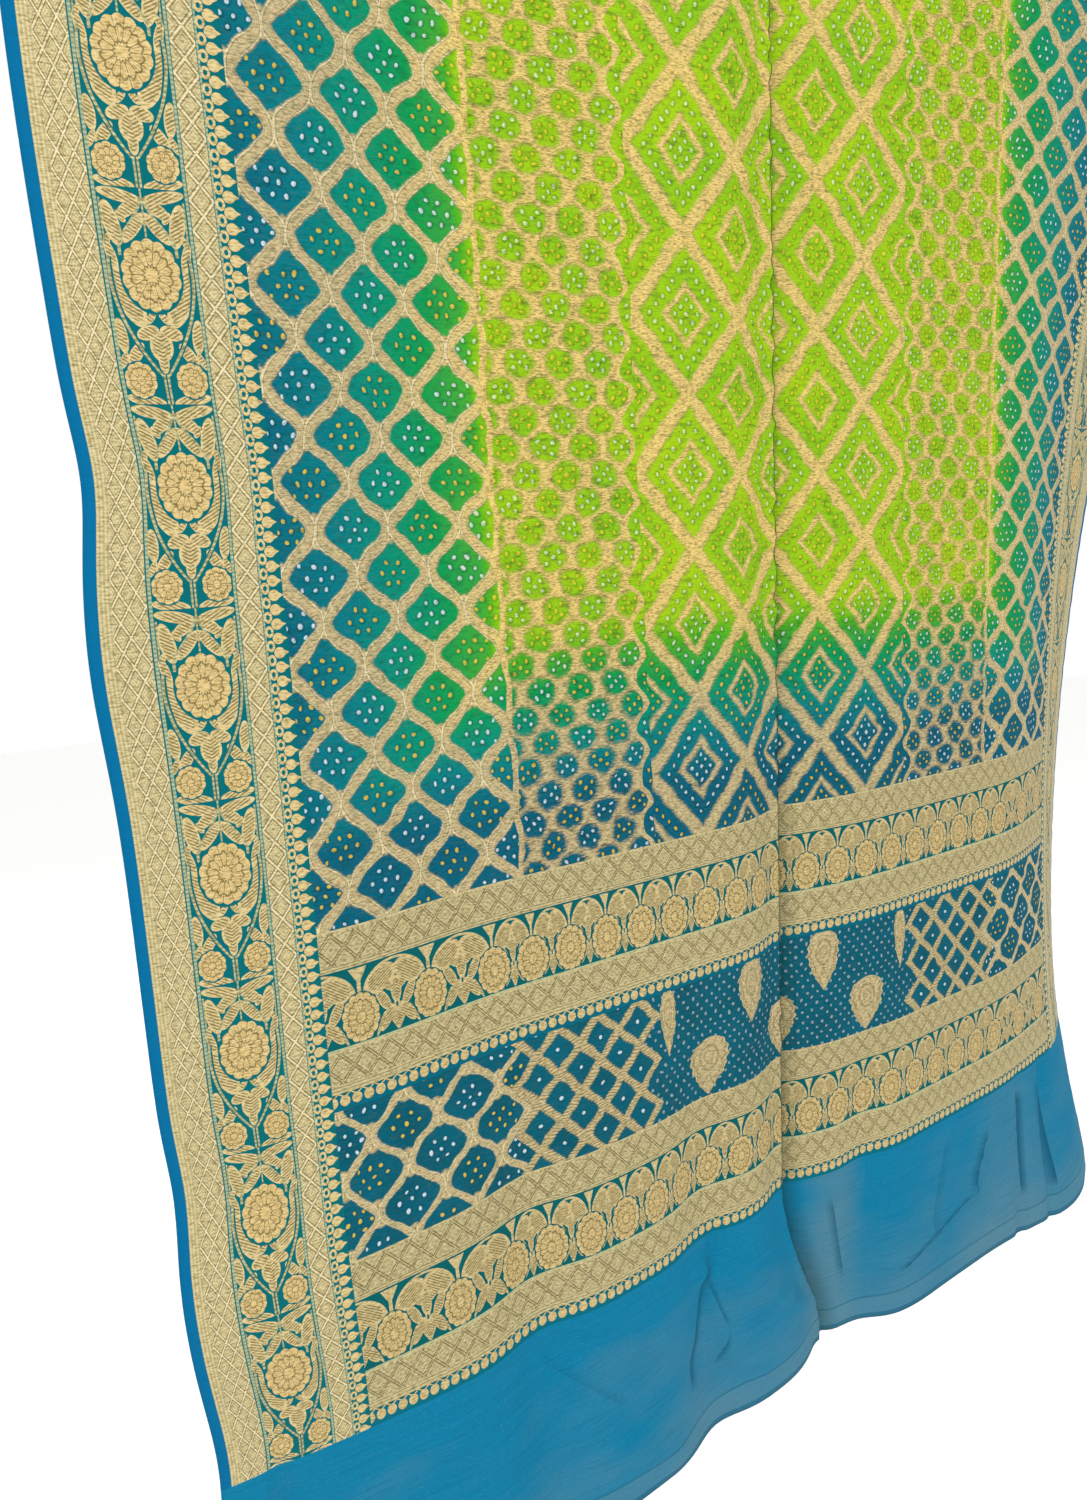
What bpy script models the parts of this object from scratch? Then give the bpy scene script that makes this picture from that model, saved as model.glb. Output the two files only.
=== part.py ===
"""Bandhani cloth: one length of woven and tie-dyed cloth, hung by its top edge.

The cloth is one sheet. Each level of it is walked from the left selvedge to the right one,
and turns a little at every upright fold, so the cloth keeps its full width wherever it bends.
A fold turns by different amounts at the top, half way down and at the hem, and runs smoothly
from one to the next.

Metres, +Z up. The origin is the middle of the top edge, on the crease along which the cloth
was folded in half for storing. The cloth hangs down -Z, its face looks towards -Y, and +X
runs towards its right selvedge.
"""

from collections import namedtuple

import bmesh
import bpy
import numpy as np

CLOTH_NAME = "bandhani_cloth"

WIDTH = 1.000
DROP = 1.250
THICKNESS = 0.002

COLUMNS = 72
ROWS = 25
STEPS_PER_COLUMN = 12

# The way the left selvedge heads, in degrees from +X towards +Y
SelvedgeHeading = namedtuple("SelvedgeHeading", "top middle hem")
SELVEDGE_HEADING = SelvedgeHeading(top=-13, middle=-8, hem=-9)

# The end without gold, below the second band, is softer: its folds wander from their line
# above, and by the hem it has swung a little to the right and forward.
PLAIN_END = 0.170
HEM_SWING_RIGHT = 0.008
HEM_SWING_FORWARD = 0.017

# Upright folds, from left to right. at and reach are shares of the width, drift is how far
# along the width the fold has wandered by the hem, and the turns are degrees: plus turns the
# cloth away from the viewer, minus turns it back.
Fold = namedtuple("Fold", "name at reach drift top middle hem")
FOLDS = (
    Fold("left belly", 0.12, 0.13, 0.000, 27, 22, -7),
    Fold("left hollow", 0.20, 0.13, 0.000, -23, -18, 20),
    Fold("into the crease", 0.46, 0.08, 0.045, 32, 29, 27),
    Fold("centre crease", 0.50, 0.012, 0.045, -30, -37, -54),
    Fold("out of the crease", 0.58, 0.12, 0.045, 1, 10, 24),
    Fold("right shoulder", 0.80, 0.12, 0.000, -10, 19, -3),
    Fold("right return", 0.91, 0.10, 0.000, -4, 1, 32),
)

# Soft places where an edge wavers. across, reach_across are shares of the width, down and
# reach_down are metres below the top edge. along moves the cloth in its own plane towards
# the right selvedge, and out moves it towards its face, both in metres.
Waver = namedtuple("Waver", "name across down reach_across reach_down along out")
WAVERS = (
    Waver("upper left edge", 0.0, 0.30, 0.10, 0.14, -0.005, 0.000),
    Waver("left edge drawn in", 0.0, 0.49, 0.10, 0.035, 0.004, -0.004),
    Waver("selvedge let out", 0.0, 0.585, 0.03, 0.06, -0.005, 0.003),
    Waver("border pinched", 0.0, 0.89, 0.08, 0.04, 0.004, -0.006),
    Waver("border swell", 0.05, 0.99, 0.06, 0.06, 0.000, 0.006),
    Waver("lower left edge", 0.0, 1.07, 0.12, 0.07, 0.009, 0.000),
    Waver("right hem corner", 1.0, 1.24, 0.14, 0.13, 0.000, 0.018),
)

CLOTH_COLOUR = (0.02, 0.22, 0.30, 1.0)
CLOTH_ROUGHNESS = 0.75


def clear_scene():
    for thing in list(bpy.data.objects):
        bpy.data.objects.remove(thing, do_unlink=True)


def between_levels(values, down):
    """A value given at the top, the middle and the hem, on the parabola through the three."""
    t = down / DROP
    top = (1 - t) * (1 - 2 * t)
    middle = 4 * t * (1 - t)
    hem = t * (2 * t - 1)
    return values.top * top + values.middle * middle + values.hem * hem


def eased(x):
    """0 up to x = 0, 1 from x = 1, and 3x^2 - 2x^3 between."""
    x = np.clip(x, 0.0, 1.0)
    return x * x * (3.0 - 2.0 * x)


def plain_end_share(down):
    """0 above the plain end, rising smoothly to 1 at the hem."""
    return eased((down - (DROP - PLAIN_END)) / PLAIN_END)


def headings(across, down):
    """Heading at each place: the selvedge's own, plus what every fold to its left has turned."""
    down = down[:, None]
    wander = plain_end_share(down)
    turned = between_levels(SELVEDGE_HEADING, down) + np.zeros_like(across)[None, :]
    for fold in FOLDS:
        passed = eased((across[None, :] - fold.at - fold.drift * wander) / fold.reach + 0.5)
        turned = turned + between_levels(fold, down) * passed
    return np.radians(turned)


def hung_points(columns, rows):
    """Places of the cloth's grid, by row and column, with the centre crease over x = y = 0."""
    steps = columns * STEPS_PER_COLUMN
    across = np.linspace(0.0, 1.0, columns + 1)
    down = np.linspace(0.0, DROP, rows + 1)
    mid_steps = (np.arange(steps) + 0.5) / steps
    heading = headings(mid_steps, down)
    walked = np.zeros((2, rows + 1, steps + 1))
    walked[0, :, 1:] = np.cumsum(np.cos(heading), axis=1) * WIDTH / steps
    walked[1, :, 1:] = np.cumsum(np.sin(heading), axis=1) * WIDTH / steps
    x, y = walked[:, :, ::STEPS_PER_COLUMN]
    swing = plain_end_share(down)
    x = x + (HEM_SWING_RIGHT * swing - x[:, columns // 2])[:, None]
    y = y - (HEM_SWING_FORWARD * swing + y[:, columns // 2])[:, None]
    local = headings(across, down)
    for waver in WAVERS:
        near = np.exp(
            -(((across[None, :] - waver.across) / waver.reach_across) ** 2)
            - ((down[:, None] - waver.down) / waver.reach_down) ** 2
        )
        x = x + near * (waver.along * np.cos(local) + waver.out * np.sin(local))
        y = y + near * (waver.along * np.sin(local) - waver.out * np.cos(local))
    z = np.broadcast_to(-down[:, None], x.shape)
    return np.stack([x, y, z], axis=-1)


def cloth_material():
    material = bpy.data.materials.new("dyed_cloth")
    material.use_nodes = True
    surface = material.node_tree.nodes["Principled BSDF"]
    surface.inputs["Base Color"].default_value = CLOTH_COLOUR
    surface.inputs["Roughness"].default_value = CLOTH_ROUGHNESS
    surface.inputs["Metallic"].default_value = 0.0
    return material


def flat_length():
    """The uncut length laid flat: a grid whose x runs 0 to 1 across and y runs 0 to 1 down."""
    grid = bmesh.new()
    bmesh.ops.create_grid(grid, x_segments=COLUMNS, y_segments=ROWS, size=0.5)
    bmesh.ops.translate(grid, verts=grid.verts, vec=(0.5, 0.5, 0.0))
    # Down the cloth is the grid's +Y, so its upper side would be the back
    bmesh.ops.reverse_faces(grid, faces=grid.faces)
    mesh = bpy.data.meshes.new(CLOTH_NAME)
    grid.to_mesh(mesh)
    grid.free()
    return mesh


def hang(mesh):
    """Moves each point of the flat length to its place in the hung cloth."""
    flat = np.empty(len(mesh.vertices) * 3)
    mesh.vertices.foreach_get("co", flat)
    flat = flat.reshape(-1, 3)
    column = np.rint(flat[:, 0] * COLUMNS).astype(int)
    row = np.rint(flat[:, 1] * ROWS).astype(int)
    places = hung_points(COLUMNS, ROWS)[row, column]
    mesh.vertices.foreach_set("co", places.ravel())
    mesh.update()


def make_cloth(collection):
    mesh = flat_length()
    hang(mesh)
    mesh.shade_smooth()
    mesh.materials.append(cloth_material())
    cloth = bpy.data.objects.new(CLOTH_NAME, mesh)
    collection.objects.link(cloth)
    weight = cloth.modifiers.new("cloth thickness", "SOLIDIFY")
    weight.thickness = THICKNESS
    weight.offset = 0.0
    return cloth


def main():
    clear_scene()
    collection = bpy.data.collections.new(CLOTH_NAME)
    bpy.context.scene.collection.children.link(collection)
    make_cloth(collection)


main()
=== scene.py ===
# %% [markdown]
# # A bandhani cloth, dressed
# The real object is one length of georgette: a bright dotted field, wide gold borders woven along
# both selvedges, two gold bands across and a plain dyed end. It hangs by its top edge. The packed
# model gives the hung shape as one plain sheet. This lesson makes a finer sheet on the same folds
# and gives it its weave, its dyes and its dots.
#
# Everything is in metres and +Z is up. The loader puts the imported model in the scene. The
# finished cloth must stay inside it.

# %% Load the imported model
import math
from collections import namedtuple

import bpy
import numpy as np
from mathutils import Matrix, Vector


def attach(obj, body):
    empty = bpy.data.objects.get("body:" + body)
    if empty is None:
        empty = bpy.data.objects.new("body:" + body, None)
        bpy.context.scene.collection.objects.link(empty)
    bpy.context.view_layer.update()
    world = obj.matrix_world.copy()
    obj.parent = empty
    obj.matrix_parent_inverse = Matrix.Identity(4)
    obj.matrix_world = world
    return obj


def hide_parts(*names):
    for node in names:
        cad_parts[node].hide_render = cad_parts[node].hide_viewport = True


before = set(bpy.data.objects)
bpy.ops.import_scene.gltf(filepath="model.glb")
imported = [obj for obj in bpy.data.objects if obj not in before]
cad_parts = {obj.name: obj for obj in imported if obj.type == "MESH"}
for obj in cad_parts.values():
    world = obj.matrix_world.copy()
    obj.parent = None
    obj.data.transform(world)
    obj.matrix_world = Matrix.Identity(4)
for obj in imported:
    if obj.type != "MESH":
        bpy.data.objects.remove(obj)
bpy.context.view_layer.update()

# %% [markdown]
# ## The folds
# Hung cloth bends but does not stretch, so its shape is best told as a walk. Each level is walked
# from the left selvedge to the right one, and every upright fold turns the walker a little. Adding
# up the steps gives the points, and the cloth keeps its full width wherever it bends. The packed
# model was made the same way, so the same table of folds brings the fine sheet exactly onto it.

# %% The cut size and the table of folds
WIDTH = 1.000
DROP = 1.250
PLAIN_END = 0.170
HEM_SWING_RIGHT = 0.008
HEM_SWING_FORWARD = 0.017

# How far across the folds at the crease wander in the plain end
CREASE_DRIFT = 0.045

Turns = namedtuple("Turns", "top middle hem")
SELVEDGE_HEADING = Turns(-13, -8, -9)

# at and reach are shares of the width, drift is how far the fold wanders in the plain end, and
# the turns are degrees: plus turns the cloth away from the viewer
Fold = namedtuple("Fold", "name at reach drift top middle hem")
FOLDS = (
    Fold("left belly", 0.12, 0.13, 0.000, 27, 22, -7),
    Fold("left hollow", 0.20, 0.13, 0.000, -23, -18, 20),
    Fold("into the crease", 0.46, 0.08, CREASE_DRIFT, 32, 29, 27),
    Fold("centre crease", 0.50, 0.012, CREASE_DRIFT, -30, -37, -54),
    Fold("out of the crease", 0.58, 0.12, CREASE_DRIFT, 1, 10, 24),
    Fold("right shoulder", 0.80, 0.12, 0.000, -10, 19, -3),
    Fold("right return", 0.91, 0.10, 0.000, -4, 1, 32),
)

# along moves the cloth in its own plane towards the right selvedge, out towards its face
Waver = namedtuple("Waver", "name across down reach_across reach_down along out")
WAVERS = (
    Waver("upper left edge", 0.0, 0.30, 0.10, 0.14, -0.005, 0.000),
    Waver("left edge drawn in", 0.0, 0.49, 0.10, 0.035, 0.004, -0.004),
    Waver("selvedge let out", 0.0, 0.585, 0.03, 0.06, -0.005, 0.003),
    Waver("border pinched", 0.0, 0.89, 0.08, 0.04, 0.004, -0.006),
    Waver("border swell", 0.05, 0.99, 0.06, 0.06, 0.000, 0.006),
    Waver("lower left edge", 0.0, 1.07, 0.12, 0.07, 0.009, 0.000),
    Waver("right hem corner", 1.0, 1.24, 0.14, 0.13, 0.000, 0.018),
    Waver("right edge drawn in", 1.0, 1.20, 0.05, 0.09, -0.014, 0.000),
)
print(f"{len(FOLDS)} folds and {len(WAVERS)} soft places where an edge wavers")


# %% The walk along each level
WALK_STEPS = 1000


def eased(x):
    """0 up to x = 0, 1 from x = 1, and 3x^2 - 2x^3 between."""
    x = np.clip(x, 0.0, 1.0)
    return x * x * (3.0 - 2.0 * x)


def between_levels(values, down):
    """A value given at the top, the middle and the hem, on the parabola through the three."""
    t = down / DROP
    return (
        values.top * (1 - t) * (1 - 2 * t)
        + values.middle * 4 * t * (1 - t)
        + values.hem * t * (2 * t - 1)
    )


def plain_end_share(down):
    """0 above the plain end, rising smoothly to 1 at the hem."""
    return eased((down - (DROP - PLAIN_END)) / PLAIN_END)


def headings(across, down):
    """Heading at each place: the selvedge's own, plus what every fold to its left has turned."""
    down = down[:, None]
    wander = plain_end_share(down)
    turned = between_levels(SELVEDGE_HEADING, down) + np.zeros_like(across)[None, :]
    for fold in FOLDS:
        passed = eased((across[None, :] - fold.at - fold.drift * wander) / fold.reach + 0.5)
        turned = turned + between_levels(fold, down) * passed
    return np.radians(turned)


def walked_to(across, down):
    """x and y of each place: the sum of the steps' cosines and sines, read between two steps."""
    middles = (np.arange(WALK_STEPS) + 0.5) / WALK_STEPS
    heading = headings(middles, down)
    walk = np.zeros((2, down.size, WALK_STEPS + 1))
    walk[0, :, 1:] = np.cumsum(np.cos(heading), axis=1) * WIDTH / WALK_STEPS
    walk[1, :, 1:] = np.cumsum(np.sin(heading), axis=1) * WIDTH / WALK_STEPS
    step = np.minimum((across * WALK_STEPS).astype(int), WALK_STEPS - 1)
    past = across * WALK_STEPS - step
    at_crease = walk[:, :, WALK_STEPS // 2]
    swing = plain_end_share(down)
    x, y = walk[:, :, step] * (1 - past) + walk[:, :, step + 1] * past
    x = x + (HEM_SWING_RIGHT * swing - at_crease[0])[:, None]
    y = y - (HEM_SWING_FORWARD * swing + at_crease[1])[:, None]
    return x, y


# %% [markdown]
# ## Rows and columns that follow the pattern
# The weave has zones: border, rope lattice, round cells, diamonds, bands and the plain end. Each
# zone gets its own material, which is far quicker to render than one material that does them all.
# So the grid's lines are laid on the zones' edges, with closer columns over the middle, where the
# cloth was creased when it was folded in half.

# %% The grid's stations
# Millimetres from the nearer selvedge
BORDER_END = 98.8
ROPES_END = 250.6
ROUNDS_END = 362.0
# The crease from storing, and how far on each side of it the columns stand close
CREASE_AT = 500.0
CREASE_REACH = 16.0
# Millimetres below the top edge
BAND_TOPS = (748.8, 960.0)
BAND_1_END = 861.5
GOLD_END = 1080.5

Zone = namedtuple("Zone", "end steps")
ZONES_ACROSS = (
    Zone(BORDER_END, 17),
    Zone(ROPES_END, 24),
    Zone(ROUNDS_END, 19),
    Zone(CREASE_AT - CREASE_REACH, 24),
    Zone(CREASE_AT + CREASE_REACH, 16),
    Zone(1000 * WIDTH - ROUNDS_END, 24),
    Zone(1000 * WIDTH - ROPES_END, 19),
    Zone(1000 * WIDTH - BORDER_END, 24),
    Zone(1000 * WIDTH, 17),
)
ZONES_DOWN = (
    Zone(BAND_TOPS[0], 160),
    Zone(BAND_1_END, 24),
    Zone(BAND_TOPS[1], 21),
    Zone(GOLD_END, 25),
    Zone(1000 * DROP, 36),
)


def stations(zones):
    """Places of the grid's lines in metres: each zone cut into its own number of even steps."""
    starts = [0.0] + [zone.end for zone in zones[:-1]]
    cuts = [
        np.linspace(start, zone.end, zone.steps, endpoint=False)
        for start, zone in zip(starts, zones)
    ]
    return np.append(np.concatenate(cuts), zones[-1].end) / 1000.0


ACROSS = stations(ZONES_ACROSS) / WIDTH
DOWN = stations(ZONES_DOWN)
print(f"{ACROSS.size - 1} columns by {DOWN.size - 1} rows")

# %% [markdown]
# ## Puckers and creases
# Tied dots draw the cloth up, so the field is crinkled in short waves that lie across it, while
# the heavy gold stays flatter. A good way to write such unevenness is a sum of many small waves
# with their own lengths and directions. A few creases are listed: the one from storing, and the
# soft folds of the plain end.

# %% Heights above the smooth folds
PUCKER_WAVES = 48
PUCKER_HEIGHT = 0.0011

Flute = namedtuple("Flute", "name across reach starts ends out")
FLUTES = (
    Flute("hollow under the ropes", 0.236, 0.035, 0.80, 1.02, -0.011),
    Flute("hollow under the rounds", 0.400, 0.032, 0.85, 1.05, -0.011),
    Flute("hollow right of the crease", 0.590, 0.026, 0.90, 1.05, -0.008),
)

# A crease runs straight from one place to another, each given as metres across and down
Crease = namedtuple("Crease", "name across0 down0 across1 down1 reach out")
CREASES = (
    Crease("storing fold", 0.10, 0.613, 0.90, 0.613, 0.0045, -0.0016),
    Crease("long sag left", 0.16, 1.12, 0.34, 1.23, 0.016, 0.0045),
    Crease("sag beside it", 0.26, 1.10, 0.43, 1.22, 0.013, -0.0040),
    Crease("pull to the crease", 0.40, 1.11, 0.52, 1.20, 0.010, 0.0040),
    Crease("tuck left of the crease", 0.408, 1.095, 0.388, 1.18, 0.0045, -0.0036),
    Crease("its other side", 0.400, 1.115, 0.418, 1.19, 0.0045, 0.0030),
    Crease("pull on the right", 0.63, 1.204, 0.745, 1.168, 0.006, 0.0050),
    Crease("end of that pull", 0.745, 1.168, 0.762, 1.115, 0.006, 0.0042),
    Crease("first upright fold", 0.826, 1.10, 0.822, 1.24, 0.0065, -0.0046),
    Crease("second upright fold", 0.872, 1.10, 0.870, 1.24, 0.0060, -0.0046),
    Crease("left corner tuck", 0.04, 1.10, 0.07, 1.22, 0.008, -0.0050),
)

# The crease's lip: metres high, and millimetres over which it rises, drops and dips
LIP_HEIGHT = 0.0044
LIP_RISE = 9.0
LIP_DROP = 2.6
LIP_DIP = 10.0


def puckered_share(across, down):
    """How much of the pucker each zone shows: all in the dotted field, little in solid gold."""
    near = 1000 * np.minimum(across, WIDTH - across)
    low = 1000 * down
    field = eased((near - BORDER_END) / 25.0) * eased((BAND_TOPS[0] - low) / 20.0)
    strip = eased((near - BORDER_END) / 25.0) * eased((low - BAND_1_END) / 12.0)
    strip = strip * eased((BAND_TOPS[1] - low) / 12.0)
    middle = 0.65 + 0.35 * eased((near - ROPES_END) / 60.0)
    return 0.14 + 0.86 * np.maximum(field * middle, 0.7 * strip)


def puckers(across, down, seed=11):
    """Sum of sines of random length and slant, longer across than down, about 1 m high at most."""
    chance = np.random.default_rng(seed)
    total = np.zeros(np.broadcast(across, down).shape)
    for _ in range(PUCKER_WAVES):
        length_across = chance.uniform(0.035, 0.22) * chance.choice((-1, 1))
        length_down = chance.uniform(0.013, 0.034)
        phase = chance.uniform(0, 2 * math.pi)
        total += np.sin(2 * math.pi * (across / length_across + down / length_down) + phase)
    return total / math.sqrt(PUCKER_WAVES)


def creased(across, down, crease):
    """A ridge or trough along a line, e^-(distance / reach)^2, dying away past both its ends."""
    run = np.array([crease.across1 - crease.across0, crease.down1 - crease.down0])
    length = np.hypot(*run)
    along = ((across - crease.across0) * run[0] + (down - crease.down0) * run[1]) / length
    aside = ((across - crease.across0) * run[1] - (down - crease.down0) * run[0]) / length
    past_end = np.maximum(np.abs(along - length / 2) - length / 2, 0.0)
    return crease.out * np.exp(-((aside / crease.reach) ** 2) - (past_end / 0.02) ** 2)


def lip(across, down):
    """The crease from storing: a slow rise from its left, and a sudden drop just right of it."""
    aside = 1000 * (across - CREASE_DRIFT * plain_end_share(down)) - CREASE_AT
    rise = np.exp(-((np.minimum(aside, 0.0) / LIP_RISE) ** 2)) * (1.0 - eased(aside / LIP_DROP))
    dip = np.exp(-(((aside - LIP_DROP) / LIP_DIP) ** 2)) * eased(aside / LIP_DROP)
    return LIP_HEIGHT * (rise - dip)


def heights(across, down):
    """How far each place stands out from the smooth folds: flutes, creases and puckers added."""
    out = PUCKER_HEIGHT * puckered_share(across, down) * puckers(across, down)
    out = out + lip(across, down)
    for flute in FLUTES:
        grown = eased((down - flute.starts) / (flute.ends - flute.starts))
        out = out + flute.out * grown * np.exp(-(((across - flute.across) / flute.reach) ** 2))
    for crease in CREASES:
        out = out + creased(across, down, crease)
    return out


# %% [markdown]
# ## The sheet as a mesh
# The two parameters are how far across and how far down the flat cloth a place is. The walk gives
# each place its x and y, the heights push it out along the face, and the same two parameters are
# kept as the UV map, in metres. A pattern drawn on that map hangs and folds with the cloth.

# %% Build the sheet
CLOTH_THICKNESS = 0.0008
UV_NAME = "laid_flat"


def hung_sheet():
    """Points by row and column: the walk, its wavers and the heights along the face's normal."""
    x, y = walked_to(ACROSS, DOWN)
    heading = headings(ACROSS, DOWN)
    across, down = np.meshgrid(ACROSS, DOWN)
    out = heights(across * WIDTH, down)
    along = np.zeros_like(out)
    for waver in WAVERS:
        near = np.exp(
            -(((across - waver.across) / waver.reach_across) ** 2)
            - ((down - waver.down) / waver.reach_down) ** 2
        )
        along += near * waver.along
        out += near * waver.out
    x = x + along * np.cos(heading) + out * np.sin(heading)
    y = y + along * np.sin(heading) - out * np.cos(heading)
    return np.stack([x, y, -down], axis=-1)


def grid_faces(rows, columns):
    """Corners of each grid square, going round so that the face looks towards the viewer."""
    first = np.arange(rows)[:, None] * (columns + 1) + np.arange(columns)[None, :]
    below = first + columns + 1
    return np.stack([first, below, below + 1, first + 1], axis=-1).reshape(-1, 4)


def zone_of(places, zones):
    """Number of the zone that each place in metres lies in."""
    return np.searchsorted([zone.end for zone in zones[:-1]], places * 1000.0)


def added_object(name, data):
    """A new object at the origin, linked to the scene."""
    thing = bpy.data.objects.new(name, data)
    bpy.context.scene.collection.objects.link(thing)
    return thing


def make_sheet():
    """The grid as a mesh object, its two parameters kept as the UV map."""
    faces = grid_faces(DOWN.size - 1, ACROSS.size - 1)
    mesh = bpy.data.meshes.new("hung_cloth")
    mesh.from_pydata(hung_sheet().reshape(-1, 3), [], faces)
    flat = np.stack(np.meshgrid(ACROSS * WIDTH, DOWN), axis=-1).reshape(-1, 2)
    layer = mesh.uv_layers.new(name=UV_NAME)
    layer.data.foreach_set("uv", flat[faces.ravel()].astype(np.float32).ravel())
    mesh.shade_smooth()
    return added_object("hung_cloth", mesh)


cloth = make_sheet()
print(f"sheet of {len(cloth.data.vertices)} points and {len(cloth.data.polygons)} squares")

# %% [markdown]
# ## Sums that draw
# A woven pattern is arithmetic on two numbers: how far across and how far down a thread lies.
# Blender's Math nodes can do it, but a long sum is hard to read as a picture of nodes. So a small
# class stands for one wire, and every + or * on it adds the node that does the same.

# %% Wires and Math nodes
def plug(value, socket):
    """Joins a wire to a socket, or sets the socket to a plain number or colour."""
    if isinstance(value, Wire):
        value.tree.links.new(value.source, socket)
    else:
        socket.default_value = value


def added_node(tree, kind, values=(), **settings):
    """A new node with its settings made and its first inputs plugged."""
    node = tree.nodes.new(kind)
    for name, setting in settings.items():
        setattr(node, name, setting)
    for value, socket in zip(values, node.inputs):
        plug(value, socket)
    return node


def reckon(operation, *values, kind="ShaderNodeMath", output=0):
    """One Math node on numbers and wires, or another kind of node with an operation."""
    tree = next(value.tree for value in values if isinstance(value, Wire))
    node = added_node(tree, kind, values, operation=operation)
    return Wire(tree, node.outputs[output])


class Wire:
    """One number, point or colour that runs through a material's nodes."""

    def __init__(self, tree, source):
        self.tree = tree
        self.source = source

    def __add__(self, other):
        return reckon("ADD", self, other)

    __radd__ = __add__

    def __sub__(self, other):
        return reckon("SUBTRACT", self, other)

    def __rsub__(self, other):
        return reckon("SUBTRACT", other, self)

    def __mul__(self, other):
        return reckon("MULTIPLY", self, other)

    __rmul__ = __mul__

    def __truediv__(self, other):
        return reckon("DIVIDE", self, other)

    def __abs__(self):
        return reckon("ABSOLUTE", self)

    def below(self, limit):
        """1 where the number is under the limit, 0 elsewhere."""
        return reckon("LESS_THAN", self, limit)

    def above(self, limit):
        """1 where the number is over the limit, 0 elsewhere."""
        return reckon("GREATER_THAN", self, limit)

    def near(self, value, within):
        """1 where the number is no further than this from a value: a line on the cloth."""
        return reckon("COMPARE", self, value, within)

    def between(self, low, high):
        """1 from low to high, 0 elsewhere."""
        return self.near((low + high) / 2, (high - low) / 2)

    def folded(self, half):
        """Rises 0 to half and falls back to 0, over and over, as paper folded in pleats."""
        return reckon("PINGPONG", self, half)

    def repeated(self, period):
        """Starts again from 0 at each period."""
        return reckon("FLOORED_MODULO", self, period)

    def clamped(self):
        """Held between 0 and 1."""
        return least(either(self, 0.0), 1.0)


def either(first, *others):
    """Union of masks, or the largest of some numbers."""
    for other in others:
        first = reckon("MAXIMUM", first, other)
    return first


def least(first, *others):
    """Overlap of masks, or the smallest of some numbers."""
    for other in others:
        first = reckon("MINIMUM", first, other)
    return first


def chosen(no, yes, share):
    """no where the share is 0, yes where it is 1."""
    return no + share * (yes - no)


# %% [markdown]
# ## Ovals and spots
# Flowers, leaves, cells and dots are ovals that are placed, turned and squeezed. A Mapping node of
# type Texture undoes a place, a turn and a size in one go, so the length of what comes out is below
# 1 inside the oval. That makes each leaf only two nodes.

# %% Ovals and distances
def spot(across, down):
    """Two wires as one point."""
    node = added_node(across.tree, "ShaderNodeCombineXYZ", (across, down))
    return Wire(across.tree, node.outputs[0])


def apart(point):
    """The point as two wires again."""
    node = added_node(point.tree, "ShaderNodeSeparateXYZ", (point,))
    return Wire(point.tree, node.outputs[0]), Wire(point.tree, node.outputs[1])


def reckon_points(operation, *points, output=0):
    """One Vector Math node."""
    return reckon(operation, *points, kind="ShaderNodeVectorMath", output=output)


def seen_from(point, middle, halves, turn):
    """The point less the middle, turned back by turn degrees, in shares of the half sizes."""
    values = (point, (*middle, 0.0), (0.0, 0.0, math.radians(turn)), (*halves, 1.0))
    node = added_node(point.tree, "ShaderNodeMapping", values, vector_type="TEXTURE")
    return Wire(point.tree, node.outputs[0])


def oval(point, middle, halves, turn=0.0):
    """Distance from an oval's middle in shares of its half sizes: 1 is the oval's edge."""
    return reckon_points("LENGTH", seen_from(point, middle, halves, turn), output="Value")


def distance(point, place):
    """Distance from a place, in the units of the point."""
    return reckon_points("DISTANCE", point, (*place, 0.0), output="Value")


def polar(point, middle, halves):
    """Radius in shares of an oval's half sizes, and the angle round it, as two wires."""
    aside, along = apart(seen_from(point, middle, halves, 0.0))
    radius = reckon("SQRT", aside * aside + along * along)
    return radius, reckon("ARCTAN2", along, aside)


def noise(point, scale_across, scale_down, detail=2.0, output="Fac"):
    """Noise on the flat cloth, its patches this many millimetres long across and down."""
    sized = reckon_points("MULTIPLY", point, (1 / scale_across, 1 / scale_down, 1.0))
    node = added_node(point.tree, "ShaderNodeTexNoise", noise_dimensions="2D")
    plug(sized, node.inputs["Vector"])
    node.inputs["Scale"].default_value = 1.0
    node.inputs["Detail"].default_value = detail
    return Wire(point.tree, node.outputs[output])


# %% [markdown]
# ## Reading the flat cloth
# Every pattern starts from the same two numbers in millimetres. The loom weaves the right half as
# the mirror of the left one, so the distance is taken from the nearer selvedge. Hand tying and
# shrinking leave no line quite straight, and a little noise added to the place does the same.

# %% Where a thread lies on the flat cloth
Laid = namedtuple("Laid", "flat across near down wobbly_near wobbly_down")
WOBBLE = 2.2
WOBBLE_PATCH = 16.0


def laid_flat(tree):
    """Millimetres from the nearer selvedge and below the top edge, plain and unsteady."""
    uv = added_node(tree, "ShaderNodeUVMap", uv_map=UV_NAME)
    flat = reckon_points("MULTIPLY", Wire(tree, uv.outputs[0]), (1000.0, 1000.0, 0.0))
    across, down = apart(flat)
    near = across.folded(500.0 * WIDTH)
    shake = apart(noise(flat, WOBBLE_PATCH, WOBBLE_PATCH, 1.0, "Color"))
    aside, along = ((share - 0.5) * (2 * WOBBLE) for share in shake)
    return Laid(flat, across, near, down, near + aside, down + along)


# %% [markdown]
# ## Dyes and threads
# The cloth is dipped in steps, so lime in the middle runs through green and teal to blue at the
# border and above the bands. One number, the depth of dye, goes from 0 for lime to 1 for blue, and
# a Color Ramp turns it into colour. Gold thread over lime looks warm, and over blue it looks pale.

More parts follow.
